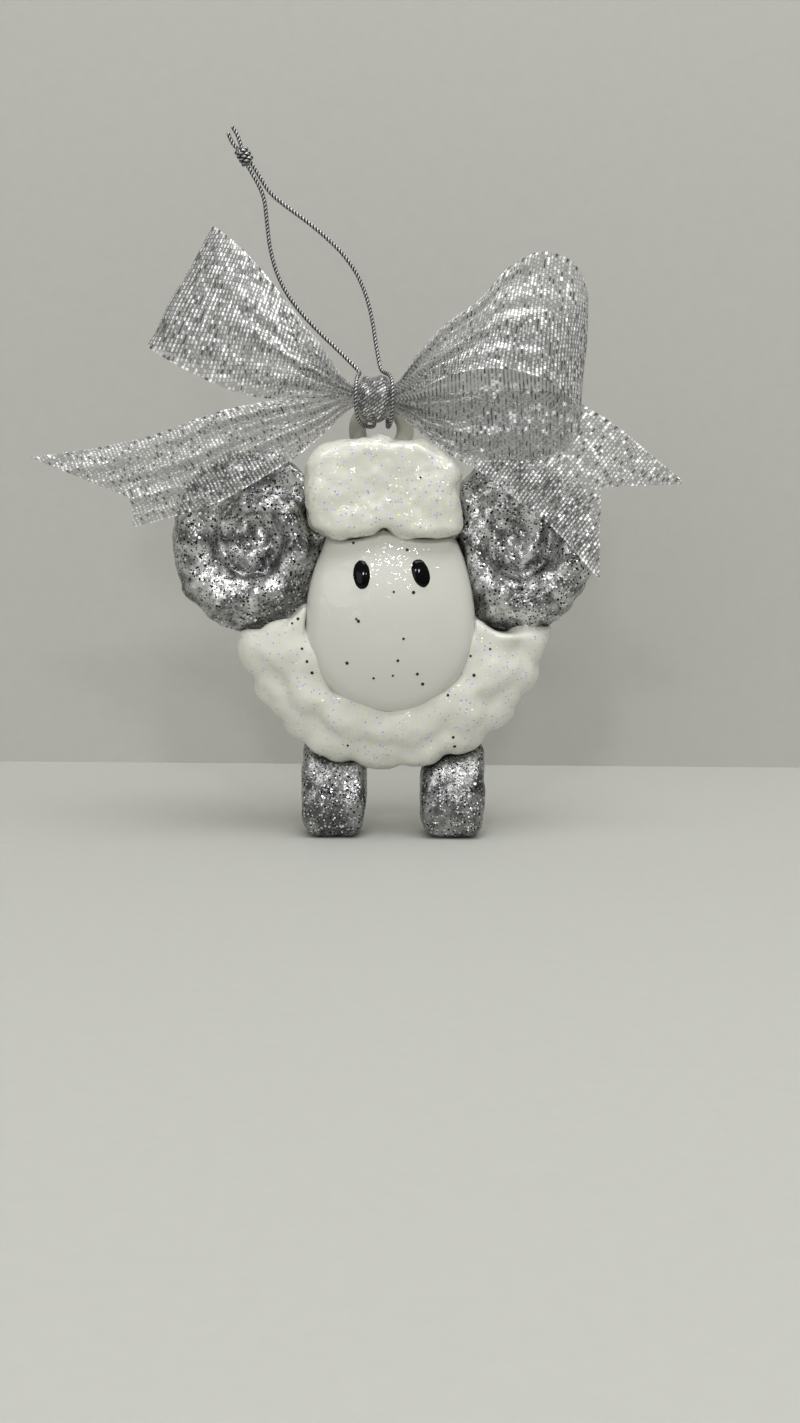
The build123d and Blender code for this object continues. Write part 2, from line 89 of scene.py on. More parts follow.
# %% Helpers
def colour(hex_value):
    """Linear colour of an sRGB hex value such as "#C8C8BE"."""
    channels = [int(hex_value[i : i + 2], 16) / 255 for i in (1, 3, 5)]
    linear = [c / 12.92 if c <= 0.04045 else ((c + 0.055) / 1.055) ** 2.4 for c in channels]
    return (*linear, 1.0)


def add_node(tree, kind, inputs=None, steps=(), **settings):
    """Node of a kind, with its settings, its inputs set or linked, and its ramp's even steps."""
    made = tree.nodes.new(kind)
    for key, value in settings.items():
        setattr(made, key, value)
    for key, value in (inputs or {}).items():
        if isinstance(value, bpy.types.NodeSocket):
            tree.links.new(value, made.inputs[key])
        else:
            made.inputs[key].default_value = value
    if steps:
        ramp = made.color_ramp
        ramp.interpolation = "CONSTANT"
        while len(ramp.elements) < len(steps):
            ramp.elements.new(0.5)
        for i, step in enumerate(steps):
            ramp.elements[i].position = i / len(steps)
            ramp.elements[i].color = colour(step)
    return made


def new_material(name):
    """Empty material with its tree and its output node."""
    material = bpy.data.materials.new(name)
    material.use_nodes = True
    tree = material.node_tree
    tree.nodes.clear()
    output = tree.nodes.new("ShaderNodeOutputMaterial")
    return material, tree, output


def cloudy_tone(tree, place, size, detail, tones):
    """Colour that wanders between two tones, in soft clouds of a size in millimetres."""
    spread = {"Vector": place, "Scale": 1 / (size * MM), "Detail": detail}
    clouds = add_node(tree, "ShaderNodeTexNoise", spread)
    blend = {"Factor": clouds.outputs["Fac"], "A": colour(tones[0]), "B": colour(tones[1])}
    return add_node(tree, "ShaderNodeMix", blend, data_type="RGBA").outputs["Result"]


def cloudy_paint(name, size, detail, tones, shine):
    """Material with clouds of two tones, and settings of its shader."""
    material, tree, output = new_material(name)
    place = add_node(tree, "ShaderNodeTexCoord").outputs["Object"]
    tone = cloudy_tone(tree, place, size, detail, tones)
    paint = add_node(tree, "ShaderNodeBsdfPrincipled", {"Base Color": tone, **shine})
    tree.links.new(paint.outputs["BSDF"], output.inputs["Surface"])
    return material


def dress(piece, material):
    """Give a piece one material."""
    piece.data.materials.clear()
    piece.data.materials.append(material)


def mesh_piece(name, shape):
    """Object of a finished shape, which is freed."""
    mesh = bpy.data.meshes.new(name)
    shape.to_mesh(mesh)
    shape.free()
    piece = bpy.data.objects.new(name, mesh)
    bpy.context.scene.collection.objects.link(piece)
    return piece


def select_only(*pieces):
    """Select these pieces and nothing else, with the first one active."""
    bpy.ops.object.select_all(action="DESELECT")
    for piece in pieces:
        piece.select_set(True)
    bpy.context.view_layer.objects.active = pieces[0]


def stand_in(piece, body, slot_name, *nodes):
    """The piece rides on a body and stands for these solids."""
    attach(piece, body)
    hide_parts(*nodes)


# %% [markdown]
# ## Hanging cord
#
# The cord is a metallic gift cord of 1 mm, two strands twisted tightly, which is why it looks
# like a fine rope with dark lines between bright ones. Its line is a NURBS curve through the
# same points as the solid cord. The line is then read back from Blender, and a skin with the
# cross-section of two strands is wound along it, turning as it goes, so that the twist is real.

# %% Cord routes, in millimetres
left_leg_route = [
    (-9.0, -5.6, 114.4), (-12.8, -4.5, 118.2), (-17.8, -4.0, 122.7), (-22.4, -3.6, 127.5),
    (-25.8, -3.4, 132.0), (-28.2, -3.3, 137.0), (-29.6, -3.4, 142.6), (-30.2, -3.6, 148.4),
    (-30.7, -4.0, 153.6), (-32.5, -4.2, 157.4), (-34.57, -4.3, 160.71),
]
right_leg_route = [
    (-3.3, -5.6, 115.2), (-4.2, -4.4, 119.6), (-5.0, -3.8, 125.2), (-6.4, -3.4, 131.0),
    (-8.8, -3.2, 136.6), (-12.3, -3.1, 141.2), (-16.6, -3.2, 145.2), (-21.2, -3.4, 148.7),
    (-25.8, -3.7, 151.8), (-29.4, -4.1, 154.6), (-31.5, -4.2, 157.9), (-33.63, -4.3, 161.29),
]
hitch_lead = 1.8


def run_back(route):
    """Point that continues a route backwards from its start, in line with its first run."""
    start = Vector(route[0])
    return tuple(start + (start - Vector(route[1])).normalized() * hitch_lead)


hitch_route = [
    left_leg_route[0], run_back(left_leg_route),
    (-8.5, -9.3, 112.3), (-8.8, -12.0, 109.4), (-8.8, -11.9, 104.2), (-7.9, -9.6, 100.9),
    (-4.9, -3.0, 100.5), (-4.5, 7.1, 102.2), (-4.5, 6.9, 110.0), (-1.5, 6.9, 110.1),
    (-1.5, 7.1, 102.2), (-1.3, -3.0, 100.5), (-0.6, -9.6, 100.9), (-0.1, -11.9, 104.2),
    (-0.1, -12.0, 109.6), (-0.6, -9.3, 112.6),
    run_back(right_leg_route), right_leg_route[0],
]

# %% Wind two strands along each route
cord_diameter = 1.0
cord_twist_pitch = 1.7
cord_ring_step = 0.12
cord_ring_points = 12
cord_groove = 0.36
curve_steps = 24


def smooth_line(route):
    """Points of the NURBS curve over a route in millimetres, read back from Blender, in metres."""
    curve = bpy.data.curves.new("route", "CURVE")
    curve.dimensions = "3D"
    curve.resolution_u = curve_steps
    spline = curve.splines.new("NURBS")
    spline.points.add(len(route) - 1)
    for point, place in zip(spline.points, route):
        point.co = (*(v * MM for v in place), 1.0)
    spline.order_u = 3
    spline.use_endpoint_u = True
    holder = bpy.data.objects.new("route", curve)
    line = bpy.data.meshes.new_from_object(holder)
    points = [v.co.copy() for v in line.vertices]
    bpy.data.objects.remove(holder)
    bpy.data.meshes.remove(line)
    return points


def evenly(points, step):
    """The same line with points a steady step apart."""
    lengths = [0.0]
    for a, b in zip(points, points[1:]):
        lengths.append(lengths[-1] + (b - a).length)
    count = max(2, round(lengths[-1] / step))
    spaced, j = [], 0
    for i in range(count + 1):
        target = lengths[-1] * i / count
        while j < len(points) - 2 and lengths[j + 1] < target:
            j += 1
        share = (target - lengths[j]) / max(lengths[j + 1] - lengths[j], 1e-12)
        spaced.append(points[j].lerp(points[j + 1], share))
    return spaced, lengths[-1]


def carried_frames(line):
    """Two vectors across a line at each of its points, carried along without twist."""
    tangents = []
    for i in range(len(line)):
        tangents.append((line[min(i + 1, len(line) - 1)] - line[max(i - 1, 0)]).normalized())
    across = tangents[0].orthogonal().normalized()
    frames = []
    for tangent in tangents:
        across = (across - tangent * across.dot(tangent)).normalized()
        frames.append((across, tangent.cross(across)))
    return frames


def twisted_cord(name, route):
    """Two-strand cord as a closed skin along a route, with its length and its centre line."""
    line, length = evenly(smooth_line(route), cord_ring_step * MM)
    frames = carried_frames(line)
    shape = bmesh.new()
    twist = shape.verts.layers.float.new("strand")
    rings = []
    for i, (place, (across, up)) in enumerate(zip(line, frames)):
        turn = 2 * pi * i * cord_ring_step / cord_twist_pitch
        ring = []
        for k in range(cord_ring_points):
            angle = 2 * pi * k / cord_ring_points
            lobe = 1 - cord_groove * (1 - abs(cos(angle))) ** 2
            out = across * cos(angle + turn) + up * sin(angle + turn)
            vertex = shape.verts.new(place + out * (cord_diameter / 2 * MM * lobe))
            vertex[twist] = abs(cos(angle))
            ring.append(vertex)
        rings.append(ring)
    for a, b in zip(rings, rings[1:]):
        for k in range(cord_ring_points):
            m = (k + 1) % cord_ring_points
            shape.faces.new((a[k], a[m], b[m], b[k]))
    shape.faces.new(list(reversed(rings[0])))
    shape.faces.new(rings[-1])
    shape.normal_update()
    piece = mesh_piece(name, shape)
    piece.data.shade_smooth()
    print(f"{name}: {length / MM:.1f} mm long, {len(piece.data.polygons)} faces")
    return piece, length, line


cord_routes = {
    "cord_left_leg": left_leg_route, "cord_right_leg": right_leg_route, "cord_hitch": hitch_route
}
cords = {name: twisted_cord(f"{name}_twist", route) for name, route in cord_routes.items()}

# %% [markdown]
# The metal thread of the cord is a flat foil strip wound round a core. It is bright where a
# strand bulges, and the groove between two strands is painted almost black, as painted shade.
# The strand's own attribute says where a point lies on it, and paints that shade into the groove.

# %% Foil cord finish
foil_grain_size = 0.9
foil_cord, tree, output = new_material("foil_wrapped_cord")
strand = add_node(tree, "ShaderNodeAttribute", attribute_name="strand")
place = add_node(tree, "ShaderNodeTexCoord").outputs["Object"]
grain_inputs = {"Vector": place, "Scale": 1 / (foil_grain_size * MM), "Detail": 2.0}
foil_grain = add_node(tree, "ShaderNodeTexNoise", grain_inputs)
on_strand = {"Value": strand.outputs["Fac"], "From Min": 0.4, "From Max": 0.95}
cord_tone = add_node(tree, "ShaderNodeMapRange", on_strand)
# The near black of the groove is painted shade between the strands.
groove_shade_to_foil = {
    "Factor": cord_tone.outputs["Result"], "A": colour("#1A1B1B"), "B": colour("#C4C5C6")
}
cord_colour = add_node(tree, "ShaderNodeMix", groove_shade_to_foil, data_type="RGBA").outputs["Result"]
dull_to_bright = {"Value": foil_grain.outputs["Fac"], "To Min": 0.22, "To Max": 0.5}
cord_shine = add_node(tree, "ShaderNodeMapRange", dull_to_bright).outputs["Result"]
cord_looks = {"Base Color": cord_colour, "Metallic": 0.85, "Roughness": cord_shine}
cord_shader = add_node(tree, "ShaderNodeBsdfPrincipled", cord_looks)
tree.links.new(cord_shader.outputs["BSDF"], output.inputs["Surface"])

for cord_name, (piece, length, line) in cords.items():
    dress(piece, foil_cord)
    stand_in(piece, "hanger", "cord", cord_name)

# %% [markdown]
# ## The cord's end knot
#
# Above the loop both strands are tied together in one overhand knot, and two short ends stick
# out of it. The knot is a ball of the same cord, so it is wound from it: a closed path that
# goes round the strands three times, and two cut ends that lean out at its top.

# %% End knot
strand_end = (Vector(left_leg_route[-1]) + Vector(right_leg_route[-1])) / 2
strand_direction = (Vector(left_leg_route[-1]) - Vector(left_leg_route[-2])).normalized()
side_direction = strand_direction.cross(Vector((0, 1, 0))).normalized()
knot_wraps = 3
knot_wrap_steps = 8
knot_wrap_radius = 1.25
knot_swell = 0.12
knot_length = 4.6
knot_margin = 0.7
core_rises = (0.1, 1.6, 3.2, 4.5)
left_end = ((4.0, -0.4), (5.8, -0.9), (7.6, -1.2), (9.2, -1.1))
right_end = ((4.0, 0.4), (5.6, 0.8), (7.2, 0.8), (8.6, 0.5))


def along_strands(rise, out=0.0, forward=0.0):
    """Point in millimetres by the strands' end: along them, to their side and to the front."""
    aside = side_direction * out + Vector((0, -forward, 0))
    return tuple(strand_end + strand_direction * rise + aside)


knot_wind = []
wind_steps = knot_wraps * knot_wrap_steps
for step in range(wind_steps + 1):
    turn = 2 * pi * step / knot_wrap_steps
    rise = knot_margin + (knot_length - 2 * knot_margin) * step / wind_steps
    swell = knot_wrap_radius * (1.0 + knot_swell * sin(pi * step / wind_steps))
    knot_wind.append(along_strands(rise, swell * cos(turn), swell * sin(turn)))
knot_routes = {
    "end_knot_wrap": knot_wind,
    "end_knot_core_left": [along_strands(rise, -0.45, 0.1) for rise in core_rises],
    "end_knot_core_right": [along_strands(rise, 0.45, -0.1) for rise in core_rises],
    "end_knot_tail_left": [along_strands(rise, out, 0.2) for rise, out in left_end],
    "end_knot_tail_right": [along_strands(rise, out, -0.2) for rise, out in right_end],
}
select_only(*[twisted_cord(part, route)[0] for part, route in knot_routes.items()])
bpy.ops.object.join()
end_knot = bpy.context.object
end_knot.name = "cord_end_knot_wound"
dress(end_knot, foil_cord)
stand_in(end_knot, "hanger", "cord", "cord_end_knot")

# %% [markdown]
# ## The casting
#
# The ram was sculpted as one soft relief and cast, so its masses have rounded edges and a hand
# made unevenness that sharp solids lack. Each mass starts from a welded copy of its solid. Round
# lumps are added where the wool bulges, then a fine voxel grid is laid over all of it, which
# melts the lumps into one skin, and smoothing rounds the edges as the casting's paint does.


# %% Casting helpers
def solid_copy(name, nodes):
    """Welded copy of some solids, as one mesh."""
    copies = []
    for node_name in nodes:
        copy = bpy.data.objects.new(name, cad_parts[node_name].data.copy())
        bpy.context.scene.collection.objects.link(copy)
        copies.append(copy)
    select_only(*copies)
    if len(copies) > 1:
        bpy.ops.object.join()
    piece = bpy.context.object
    bpy.ops.object.mode_set(mode="EDIT")
    bpy.ops.mesh.select_all(action="SELECT")
    bpy.ops.mesh.remove_doubles(threshold=0.002 * MM)
    bpy.ops.object.mode_set(mode="OBJECT")
    return piece


def lump(place, size):
    """Round lump of clay at a place, with its half sizes, in millimetres."""
    bpy.ops.mesh.primitive_uv_sphere_add(
        segments=24, ring_count=12, radius=MM, location=[v * MM for v in place], scale=size
    )
    bpy.ops.object.transform_apply(location=True, rotation=True, scale=True)
    return bpy.context.object


def melt(piece, lumps, voxel, rounds):
    """Join the lumps to a piece, lay a voxel skin over all of it and smooth it."""
    select_only(piece, *lumps)
    if lumps:
        bpy.ops.object.join()
    skin = piece.modifiers.new("skin", "REMESH")
    skin.mode = "VOXEL"
    skin.voxel_size = voxel * MM
    skin.use_smooth_shade = True
    bpy.ops.object.modifier_apply(modifier=skin.name)
    bpy.ops.object.mode_set(mode="EDIT")
    bpy.ops.mesh.select_all(action="SELECT")
    bpy.ops.mesh.vertices_smooth(factor=0.5, repeat=rounds)
    bpy.ops.object.mode_set(mode="OBJECT")
    return piece


noise_shift = (7.3, 3.1, 5.7)


def unevenness(piece, size, depth, seed, back=5.2, low=0.6):
    """Push the skin in and out by a soft noise, but not the flat back and not the soles."""
    shift = Vector([seed * v for v in noise_shift])
    normals = [v.normal.copy() for v in piece.data.vertices]
    for vertex, normal in zip(piece.data.vertices, normals):
        if vertex.co.y < back * MM and vertex.co.z > low * MM:
            wave = noise.noise(vertex.co / (size * MM) + shift)
            vertex.co += normal * wave * depth * MM
    piece.data.update()


# %% Fleece
fleece_centre = (0.0, 56.0)
horn_centres = ((-34.8, 72.9), (30.8, 72.9))
horn_reach = 24.0
wool_top = 52.0
lump_variety = 0.12


def wool_ring(radius, count, first, size, front, flatness):
    """Ring of wool lumps round the fleece's centre, with none where the horns lie on it."""
    made = []
    for i in range(count):
        angle = radians(first + 360 / count * i)
        x, z = fleece_centre[0] + radius * cos(angle), fleece_centre[1] + radius * sin(angle)
        nearest_horn = min(hypot(x - hx, z - hz) for hx, hz in horn_centres)
        if z > wool_top or nearest_horn < horn_reach:
            continue
        wobble = 1 + lump_variety * sin(5.1 * i + radius)
        depth = size * flatness
        made.append(lump((x, front + depth, z), (size * wobble, depth, size * wobble)))
    return made


tufts = wool_ring(34.2, 17, 8.6, 5.4, -6.6, 0.9)
tufts += wool_ring(27.4, 13, 3.0, 6.8, -9.2, 0.5)
tufts += wool_ring(20.5, 9, 12.0, 6.2, -9.6, 0.4)
fleece = melt(solid_copy("fleece_tufts", ["fleece_body"]), tufts, 0.5, 16)
unevenness(fleece, 8.0, 1.0, 1)
unevenness(fleece, 3.2, 0.22, 11)
stand_in(fleece, "figure", "fleece", "fleece_body")
print("fleece", len(fleece.data.polygons), "faces")

# %% Wool cap
cap_lumps = [
    ((-14.5, 80.5), 6.0, -10.6),
    ((-7.0, 79.5), 5.5, -12.2),
    ((3.5, 79.5), 5.8, -12.3),
    ((10.5, 80.0), 5.8, -11.2),
    ((12.0, 88.5), 5.2, -10.8),
    ((6.5, 92.0), 6.0, -11.4),
    ((-2.5, 92.5), 6.2, -12.0),
    ((-11.5, 91.0), 6.2, -11.2),
    ((-15.0, 86.5), 5.4, -10.6),
    ((-4.0, 86.0), 6.5, -13.2),
    ((4.5, 86.5), 6.0, -12.9),
]
cap_tufts = []
for (x, z), size, front in cap_lumps:
    cap_tufts.append(lump((x, front + size * 0.5, z), (size, size * 0.5, size)))
cap = melt(solid_copy("wool_cap_tufts", ["wool_cap"]), cap_tufts, 0.4, 24)
unevenness(cap, 6.5, 0.8, 2)
unevenness(cap, 2.4, 0.22, 12)
stand_in(cap, "figure", "fleece", "wool_cap")

# %% Head, with the eyes' pockets filled
head = melt(solid_copy("face_glazed", ["head", "left_eye", "right_eye"]), [], 0.45, 16)
unevenness(head, 16.0, 0.3, 3)
stand_in(head, "figure", "face", "head")

# %% [markdown]
# The eyes were painted on last, in thick black enamel, so each is a low lens of paint that
# follows the face. A flat ball is made in front of the face, and every point of it is carried
# back along the line of sight until it lies on the skin, as if the ball were draped over it.


# %% Eyes
def skin_of(piece):
    """Search tree over a piece's faces, to find its surface."""
    shape = bmesh.new()
    shape.from_mesh(piece.data)
    tree = BVHTree.FromBMesh(shape)
    shape.free()
    return tree


def front_of(skin, x, z):
    """Place and normal of the foremost surface at a spot seen from the front, in millimetres."""
    hit, normal, _, _ = skin.ray_cast(Vector((x * MM, -60 * MM, z * MM)), Vector((0, 1, 0)))
    return hit, normal


face_skin = skin_of(head)
eye_half_size = (2.1, 0.42, 3.45)
eye_edge_wobble = 0.07
paint_lift = 0.06
for eye_name, (x, z), lean in (("left_eye", (-7.2, 65.6), -4), ("right_eye", (6.9, 66.0), -19)):
    eye = lump((0, 0, 0), eye_half_size)
    eye.name = f"{eye_name}_paint"
    turn = Matrix.Rotation(radians(lean), 3, "Y")
    for vertex in eye.data.vertices:
        place = turn @ vertex.co
        outline = 1 + eye_edge_wobble * noise.noise(place / (1.3 * MM) + Vector((x, 0, z)))
        at_x, at_z = x + place.x / MM * outline, z + place.z / MM * outline
        hit, _ = front_of(face_skin, at_x, at_z)
        vertex.co = (at_x * MM, hit.y + place.y + paint_lift * MM, at_z * MM)
    eye.data.shade_smooth()
    stand_in(eye, "figure", "eye_paint", eye_name)
    print(eye.name, len(eye.data.polygons), "faces")

# %% [markdown]
# The hoofs are narrower at the sole, and their tops lean back under the fleece, but no further
# than the flat back.

# %% Horns and feet
horn_back = 4.0
hoof_taper, hoof_taper_height = 0.14, 9.0
hoof_lean, hoof_lean_start = 0.028, 6.0
hoof_back = 5.8
for horn_node, seed in (("left_horn", 5), ("right_horn", 6)):
    horn = melt(solid_copy(f"{horn_node}_relief", [horn_node]), [], 0.45, 24)
    unevenness(horn, 6.0, 1.5, seed, horn_back)
    unevenness(horn, 2.4, 0.5, seed + 10, horn_back)
    stand_in(horn, "figure", "silver_paint", horn_node)
for foot_node, centre_x, seed in (("left_foot", -14.2, 7), ("right_foot", 15.4, 8)):
    foot = melt(solid_copy(f"{foot_node}_hoof", [foot_node]), [], 0.4, 44)
    unevenness(foot, 3.5, 0.4, seed)
    for vertex in foot.data.vertices:
        x, y, z = vertex.co / MM
        taper = hoof_taper * max(0.0, 1 - z / hoof_taper_height) ** 2
        x, y = centre_x + (x - centre_x) * (1 - taper), y * (1 - taper)
        y = min(y + hoof_lean * max(0.0, z - hoof_lean_start) ** 2, max(y, hoof_back))
        vertex.co = Vector((x, y, max(z, 0.0))) * MM
    stand_in(foot, "figure", "silver_paint", foot_node)

# %% Tab
tab = melt(solid_copy("tab_ring", ["hanging_tab"]), [], 0.3, 8)
stand_in(tab, "figure", "tab", "hanging_tab")

# %% [markdown]
# ## White glaze
#
# The white is a brushed acrylic paint under clear varnish. It is not a pure white: it is a warm
# off-white, a little darker where the paint pooled. The varnish is the shader's coat, and its
# brush marks are waves in the coat's normal, which break a lamp's reflection into bright curls.


# %% White glaze
def flake_cells(tree, place, cell, share, radius):
    """Scattered flakes of a cell size and a radius in millimetres: their mask and their cells."""
    scatter = {"Vector": place, "Scale": 1 / (cell * MM)}
    cells = add_node(tree, "ShaderNodeTexVoronoi", scatter)
    parts = add_node(tree, "ShaderNodeSeparateColor", {"Color": cells.outputs["Color"]})
    near = {0: cells.outputs["Distance"], 1: radius / cell}
    disc = add_node(tree, "ShaderNodeMath", near, operation="LESS_THAN")
    lucky = {0: parts.outputs["Red"], 1: share}
    chosen = add_node(tree, "ShaderNodeMath", lucky, operation="LESS_THAN")
    both = {0: disc.outputs[0], 1: chosen.outputs[0]}
    mask = add_node(tree, "ShaderNodeMath", both, operation="MULTIPLY")
    return mask.outputs[0], cells, parts


def tilted_normal(tree, cells, strength):
    """Normal that leans a different way in each cell."""
    normal = add_node(tree, "ShaderNodeNewGeometry").outputs["Normal"]
    value = cells.outputs["Color"]
    for operation, inputs in (
        ("SUBTRACT", {1: (0.5, 0.5, 0.5)}),
        ("SCALE", {"Scale": strength}),
        ("ADD", {1: normal}),
        ("NORMALIZE", {}),
    ):
        turned = add_node(tree, "ShaderNodeVectorMath", {0: value, **inputs}, operation=operation)
        value = turned.outputs[0]
    return value


def under_flakes(tree, place, shader, layers, tones, lean, shine):
    """Shader under layers of flakes, each layer with a cell size, a share and a radius."""
    for cell, share, radius in layers:
        mask, cells, parts = flake_cells(tree, place, cell, share, radius)
        tone = add_node(tree, "ShaderNodeValToRGB", {"Fac": parts.outputs["Green"]}, steps=tones)
        normal = tilted_normal(tree, cells, lean)
        looks = {"Base Color": tone.outputs["Color"], "Normal": normal, **shine}
        flake = add_node(tree, "ShaderNodeBsdfPrincipled", looks)
        covered = {0: mask, 1: shader, 2: flake.outputs["BSDF"]}
        shader = add_node(tree, "ShaderNodeMixShader", covered).outputs[0]
    return shader


pearl_tones = ["#7468FF", "#A894FF", "#FFFFFF", "#E0E45A", "#8FA6FF", "#F2EE8C", "#FFFFFF"]


def white_glaze(name, tones, roughness, coat, ripple, wave_size, flakes=()):
    """Varnished off-white paint, with scattered pearl flakes where their layers are given."""
    material, tree, output = new_material(name)
    place = add_node(tree, "ShaderNodeTexCoord").outputs["Object"]
    brushing = {"Vector": place, "Scale": 1 / (wave_size * MM), "Detail": 1.5}
    waves = add_node(tree, "ShaderNodeTexNoise", brushing)
    height = {"Height": waves.outputs["Fac"], "Distance": ripple * MM}
    bump = add_node(tree, "ShaderNodeBump", height)
    body = add_node(
        tree,
        "ShaderNodeBsdfPrincipled",
        {
            "Base Color": cloudy_tone(tree, place, 9, 3.0, tones),
            "Roughness": roughness,
            "Coat Weight": coat,
            "Coat Roughness": 0.03,
            "Coat Normal": bump.outputs["Normal"],
        },
    )
    shine = {"Metallic": 0.35, "Roughness": 0.3}
    shader = under_flakes(tree, place, body.outputs["BSDF"], flakes, pearl_tones, 0.7, shine)
    tree.links.new(shader, output.inputs["Surface"])
    return material


face_glaze = white_glaze("varnished_white_paint", ("#CDCDC5", "#D2D2CA"), 0.42, 0.9, 0.4, 2.3)
fleece_tones, fleece_pearls = ("#D8D8CE", "#E0E0D6"), [(0.7, 0.45, 0.17)]
fleece_glaze = white_glaze(
    "white_paint_with_pearl_glitter", fleece_tones, 0.5, 0.25, 0.03, 1.6, fleece_pearls
)
cap_tones, cap_pearls = ("#DADACE", "#E2E2D7"), [(0.65, 0.5, 0.17)]
cap_glaze = white_glaze("wet_white_paint_with_pearl_glitter", cap_tones, 0.4, 1.0, 1.2, 3.0, cap_pearls)
# The tab's white is painted darker than the other whites: painted shade, as the tab lies behind the cap
# and the knot.
shaded_tab_glaze = white_glaze("white_paint_darkened_as_shade", ("#B0B0A5", "#B8B8AD"), 0.5, 0.2, 0.02, 1.6)
dress(head, face_glaze)
dress(fleece, fleece_glaze)
dress(cap, cap_glaze)
dress(tab, shaded_tab_glaze)

# %% [markdown]
# ## Black eye paint
#
# The eyes are two strokes of black enamel. It is so dark that only its gloss shows its form.

# %% Eye paint
eye_enamel, tree, output = new_material("black_enamel")
place = add_node(tree, "ShaderNodeTexCoord").outputs["Object"]
strokes = {"Vector": place, "Scale": 1 / (1.2 * MM), "Detail": 2.0}
brush = add_node(tree, "ShaderNodeTexNoise", strokes)
eye_bump = add_node(tree, "ShaderNodeBump", {"Height": brush.outputs["Fac"], "Distance": 0.03 * MM})
enamel_looks = {
    "Base Color": colour("#060607"),
    "Roughness": 0.06,
    "Specular IOR Level": 0.15,
    "Normal": eye_bump.outputs["Normal"],
}
eye_shader = add_node(tree, "ShaderNodeBsdfPrincipled", enamel_looks)
tree.links.new(eye_shader.outputs["BSDF"], output.inputs["Surface"])
for side in ("left", "right"):
    dress(bpy.data.objects[f"{side}_eye_paint"], eye_enamel)

# %% [markdown]
# ## Silver glitter paint
#
# Horns and feet are painted with pewter grey metallic paint and then with glitter in clear
# glue. The flakes are cut foil of about half a millimetre. Each lies at its own angle, so some
# mirror a lamp and others the dark room. Their colours are also painted from black to white:
# the black ones are painted reflections of the dark room, the white ones painted glints.


# %% Silver glitter paint
# Flake colours from black to white: painted reflections of the dark room and painted glints.
flake_glint_and_reflection_tones = ["#0B0B0C", "#141415", "#1F1F20", "#4A4B4C", "#8E8F90", "#C8C9CA", "#FFFFFF", "#FFFFFF"]


def silver_glitter(name, tones, layers):
    """Pewter paint under layers of foil flakes, each a cell size, a share and a radius."""
    material, tree, output = new_material(name)
    place = add_node(tree, "ShaderNodeTexCoord").outputs["Object"]
    # The paint's bright patches, laid at random, are painted highlights.
    spread = {"Vector": place, "Scale": 1 / (5 * MM), "Detail": 3.0}
    highlight_patches = add_node(tree, "ShaderNodeTexNoise", spread)
    sharper = {"Value": highlight_patches.outputs["Fac"], "From Min": 0.4, "From Max": 0.62}
    contrast = add_node(tree, "ShaderNodeMapRange", sharper)
    pewter = {"Factor": contrast.outputs["Result"], "A": colour(tones[0]), "B": colour(tones[1])}
    base_tone = add_node(tree, "ShaderNodeMix", pewter, data_type="RGBA")
    grains = add_node(tree, "ShaderNodeTexVoronoi", {"Vector": place, "Scale": 1 / (0.4 * MM)})
    paint = add_node(
        tree,
        "ShaderNodeBsdfPrincipled",
        {
            "Base Color": base_tone.outputs["Result"],
            "Metallic": 0.85,
            "Roughness": 0.3,
            "Normal": tilted_normal(tree, grains, 0.35),
        },
    )
    shine = {"Metallic": 0.7, "Roughness": 0.22}
    shader = under_flakes(tree, place, paint.outputs["BSDF"], layers, flake_glint_and_reflection_tones, 0.8, shine)
    tree.links.new(shader, output.inputs["Surface"])
    return material


horn_foil, hoof_foil = ((0.6, 0.6, 0.24), (0.95, 0.5, 0.34)), ((0.55, 0.6, 0.22), (0.9, 0.5, 0.3))
horn_glitter = silver_glitter("pewter_paint_with_foil_glitter", ("#747575", "#D2D3D2"), horn_foil)
# The feet's copy of the pewter paint is darker than the horns': painted shade.
shaded_hoof_glitter = silver_glitter("pewter_paint_darkened_as_shade_with_foil_glitter", ("#585959", "#9C9D9C"), hoof_foil)
for side in ("left", "right"):
    dress(bpy.data.objects[f"{side}_horn_relief"], horn_glitter)
    dress(bpy.data.objects[f"{side}_foot_hoof"], shaded_hoof_glitter)

# %% [markdown]
# ## Stray flakes
#
# A few dark foil flakes fell on the white paint and dried there. They are real pieces: one thin
# six-sided plate is made, and a copy of it is laid flat on the skin at each place.

# %% Stray foil flakes
face_flakes = [
    (-9.3, 73.0), (3.6, 71.5), (0.5, 61.6), (5.2, 61.5), (-8.4, 55.1), (-7.9, 54.6), (2.9, 50.5),
    (1.6, 45.2), (6.3, 41.9), (-4.2, 40.8), (-10.6, 44.4), (0.4, 41.5), (7.6, 39.4),
]
fleece_flakes = [
    (-21.6, 47.5), (-20.4, 44.4), (-22.6, 54.7), (-24.0, 53.6), (-19.2, 41.6), (23.9, 47.7),
    (20.1, 41.3), (19.2, 46.0), (13.8, 36.4), (15.3, 25.7), (-10.6, 23.3), (15.7, 23.3),
]
fleece_skin = skin_of(fleece)
flake_places = [front_of(face_skin, x, z) for x, z in face_flakes]
flake_places += [front_of(fleece_skin, x, z) for x, z in fleece_flakes]
flake_places += [front_of(skin_of(cap), 6.6, 88.6)]

